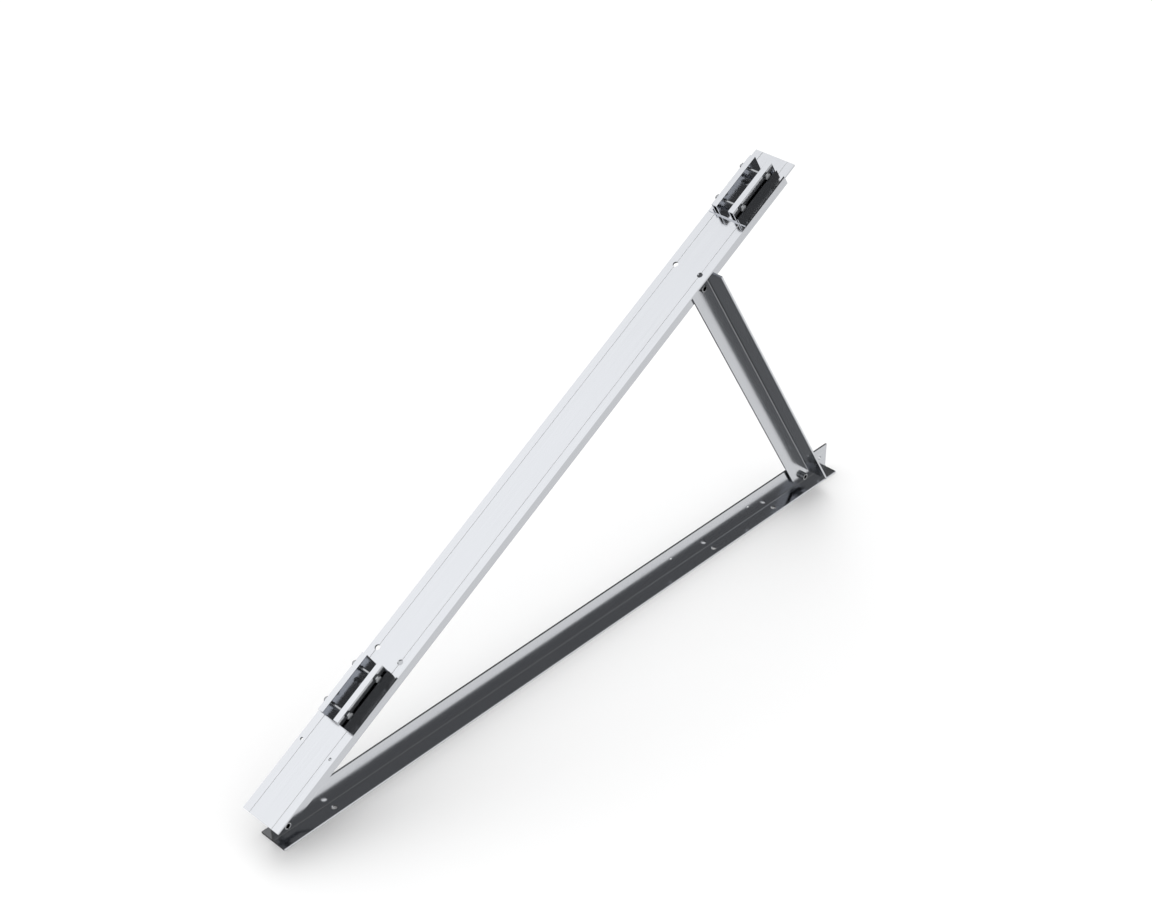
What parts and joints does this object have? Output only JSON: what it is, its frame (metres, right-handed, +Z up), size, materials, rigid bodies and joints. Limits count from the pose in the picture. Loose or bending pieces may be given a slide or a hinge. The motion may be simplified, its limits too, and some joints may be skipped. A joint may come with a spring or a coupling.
{
  "type": "solar ballast mount",
  "caption": "Tilted triangular frame of aluminium T and angle extrusions that holds a solar module over a flat roof, with two slotted clamp brackets on its sloped rail.",
  "frame": {"origin": "on the floor under the front joint, in the base rail's middle plane", "axes": "+X along the base rail to the rear, +Z up, +Y across; the near side with the screw heads and the rear leg is -Y"},
  "size_m": [1.2632, 0.079, 0.6846],
  "materials": {
    "extrusion_aluminium": "bright mill finish",
    "bracket_aluminium": "bright mill finish",
    "stainless_steel": "bright"
  },
  "bodies": {
    "root": {"base_rail": "extrusion_aluminium", "top_rail": "extrusion_aluminium", "rear_leg": "extrusion_aluminium", "front_joint_cap_screw": "stainless_steel", "front_joint_washer": "stainless_steel", "front_joint_nut": "stainless_steel", "head_joint_cap_screw": "stainless_steel", "head_joint_washer": "stainless_steel", "head_joint_nut": "stainless_steel", "foot_joint_cap_screw": "stainless_steel", "foot_joint_washer": "stainless_steel", "foot_joint_nut": "stainless_steel", "foot_joint_spacer": "stainless_steel", "lower_bracket_saddle": "bracket_aluminium", "lower_bracket_clamp_channel": "bracket_aluminium", "lower_bracket_cross_bolts": "stainless_steel", "lower_bracket_cross_nuts": "stainless_steel", "lower_bracket_fixing_screws": "stainless_steel", "lower_bracket_fixing_nuts": "stainless_steel", "upper_bracket_saddle": "bracket_aluminium", "upper_bracket_clamp_channel": "bracket_aluminium", "upper_bracket_cross_bolts": "stainless_steel", "upper_bracket_cross_nuts": "stainless_steel", "upper_bracket_fixing_screws": "stainless_steel", "upper_bracket_fixing_nuts": "stainless_steel"}
  },
  "joints": []
}
